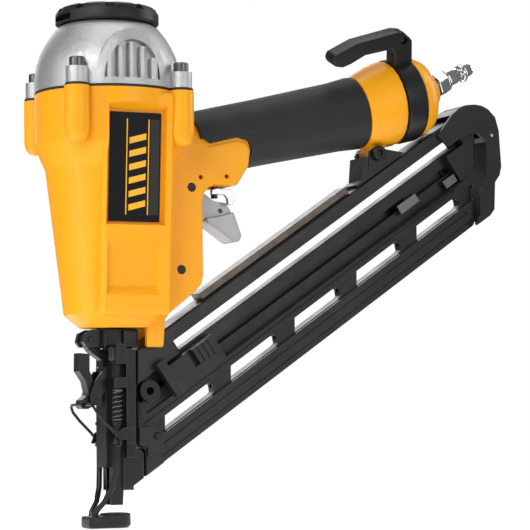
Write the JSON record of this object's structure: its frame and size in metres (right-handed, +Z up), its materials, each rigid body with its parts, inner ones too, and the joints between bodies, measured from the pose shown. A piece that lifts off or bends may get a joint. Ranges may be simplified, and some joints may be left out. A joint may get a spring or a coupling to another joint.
{
  "type": "pneumatic nail gun",
  "caption": "Pneumatic angled finish nailer: upright cylinder with domed cap, raised grip with swivel hook and air plug, slanted magazine with pusher, latched nose with contact trip.",
  "frame": {"origin": "middle of the hand grip, on the grip's own axis", "axes": "+X from the nose side back towards the air plug, +Y across the tool to its right side, +Z up along the drive axis, so nails leave towards -Z"},
  "size_m": [0.3163, 0.089, 0.3162],
  "materials": {
    "yellow_paint": "satin yellow paint on cast magnesium",
    "cast_aluminium": "sand-cast silver aluminium",
    "black_plastic": "matt black moulded plastic",
    "black_rubber": "matt black moulded rubber",
    "dark_steel": "dark steel hardware",
    "black_oxide_steel": "black oxide steel",
    "bright_chrome": "bright chrome plate",
    "grey_trigger": "light grey moulded trigger",
    "bronze_strip": "brown-grey steel strip"
  },
  "bodies": {
    "tool": {"housing": "yellow_paint", "end_cap": "yellow_paint", "cylinder_cap": "cast_aluminium", "cylinder_sleeve": "cast_aluminium", "end_cap_pin": "cast_aluminium", "track_clip_1": "cast_aluminium", "track_clip_2": "cast_aluminium", "cap_gasket": "black_plastic", "side_plate_left": "black_plastic", "side_plate_right": "black_plastic", "valve_body": "black_plastic", "magazine": "black_plastic", "magazine_end_cap": "black_plastic", "front_gusset": "black_plastic", "rear_bracket": "black_plastic", "grip_sleeve": "black_rubber", "bumper": "black_rubber", "cap_screw_1": "dark_steel", "cap_screw_2": "dark_steel", "cap_screw_3": "dark_steel", "cap_screw_4": "dark_steel", "head_valve_spring": "dark_steel", "air_reducer": "dark_steel", "trigger_pin": "dark_steel", "cross_dowel": "dark_steel", "door_pin": "dark_steel", "contact_spring": "dark_steel", "bracket_bolt": "dark_steel", "bracket_nut": "dark_steel", "gusset_rivet": "dark_steel", "feed_spring_drum": "dark_steel", "nose_body": "black_oxide_steel", "air_plug": "bright_chrome", "top_strip": "bronze_strip"},
    "deflector": {"exhaust_deflector": "black_plastic", "deflector_screw": "dark_steel"},
    "head_valve": {"head_valve": "black_plastic"},
    "piston": {"piston_driver": "dark_steel", "piston_ring": "black_plastic"},
    "trigger": {"trigger": "grey_trigger"},
    "valve_stem": {"valve_stem": "dark_steel"},
    "trigger_lock": {"trigger_lock": "dark_steel"},
    "belt_hook": {"belt_hook": "black_plastic"},
    "contact_arm": {"contact_arm": "black_oxide_steel"},
    "depth_wheel": {"depth_wheel": "dark_steel"},
    "contact_trip": {"contact_trip": "black_oxide_steel"},
    "no_mar_pad": {"no_mar_pad": "black_plastic"},
    "nose_door": {"nose_door": "black_oxide_steel", "latch_pin": "dark_steel"},
    "latch_lever": {"latch_lever": "black_oxide_steel"},
    "bail": {"bail_wire": "dark_steel"},
    "pusher": {"pusher": "black_plastic"},
    "pusher_button": {"pusher_button": "dark_steel"}
  },
  "joints": [
    {"name": "deflector_turn", "type": "hinge", "parent": "tool", "child": "deflector", "pos_m": [-0.118, 0, 0.0607], "axis": [0, 0, 1], "continuous": true},
    {"name": "head_valve_lift", "type": "slide", "parent": "tool", "child": "head_valve", "axis": [0, 0, 1], "range_m": [0, 0.0045], "stiffness_N_per_m": 900, "springref_m": -0.004, "deforming": ["head_valve_spring"]},
    {"name": "piston_stroke", "type": "slide", "parent": "tool", "child": "piston", "axis": [0, 0, -1], "range_m": [0, 0.084]},
    {"name": "trigger_pull", "type": "hinge", "parent": "tool", "child": "trigger", "pos_m": [-0.0696, 0, -0.0418], "axis": [0, -1, 0], "range_deg": [0, 10], "stiffness_Nm_per_rad": 1.2, "springref_deg": -8.59},
    {"name": "valve_stem_lift", "type": "slide", "parent": "tool", "child": "valve_stem", "axis": [0, 0, 1], "range_m": [0, 0.0032]},
    {"name": "trigger_lock_swing", "type": "hinge", "parent": "tool", "child": "trigger_lock", "pos_m": [-0.0533, -0.0112, -0.0432], "axis": [0, 1, 0], "range_deg": [0, 25]},
    {"name": "belt_hook_turn", "type": "hinge", "parent": "tool", "child": "belt_hook", "pos_m": [0.08375, 0, 0.0212], "axis": [0.9759, 0, 0.2181], "range_deg": [-100, 100]},
    {"name": "contact_press", "type": "slide", "parent": "tool", "child": "contact_arm", "axis": [0, 0, 1], "range_m": [0, 0.009], "stiffness_N_per_m": 500, "springref_m": -0.006, "deforming": ["contact_spring"]},
    {"name": "depth_wheel_turn", "type": "hinge", "parent": "contact_arm", "child": "depth_wheel", "pos_m": [-0.1195, -0.015, -0.1438], "axis": [0, 0, 1], "range_deg": [0, 1080]},
    {"name": "contact_depth", "type": "slide", "parent": "contact_arm", "child": "contact_trip", "axis": [0, 0, 1], "range_m": [0, 0.003]},
    {"name": "pad_pull", "type": "slide", "parent": "contact_trip", "child": "no_mar_pad", "axis": [0, 0, -1], "range_m": [0, 0.02]},
    {"name": "door_swing", "type": "hinge", "parent": "tool", "child": "nose_door", "pos_m": [-0.133, 0, -0.1346], "axis": [0, 1, 0], "range_deg": [0, 75]},
    {"name": "latch_flip", "type": "hinge", "parent": "nose_door", "child": "latch_lever", "pos_m": [-0.1305, 0, -0.1718], "axis": [0, -1, 0], "range_deg": [0, 100]},
    {"name": "bail_swing", "type": "hinge", "parent": "latch_lever", "child": "bail", "pos_m": [-0.1365, 0, -0.1738], "axis": [0, 1, 0], "range_deg": [0, 130]},
    {"name": "pusher_slide", "type": "slide", "parent": "tool", "child": "pusher", "axis": [0.829, 0, 0.5592], "range_m": [0, 0.15]},
    {"name": "button_press", "type": "slide", "parent": "pusher", "child": "pusher_button", "axis": [-0.829, 0, -0.5592], "range_m": [0, 0.0026], "stiffness_N_per_m": 150, "springref_m": -0.002}
  ],
  "couplings": [
    {"joint": "valve_stem_lift", "follows": "trigger_pull", "m_per_rad": 0.018317},
    {"joint": "depth_wheel_turn", "follows": "contact_depth", "rad_per_m": 6280},
    {"joint": "bail_swing", "follows": "latch_flip", "ratio": 1.3}
  ]
}
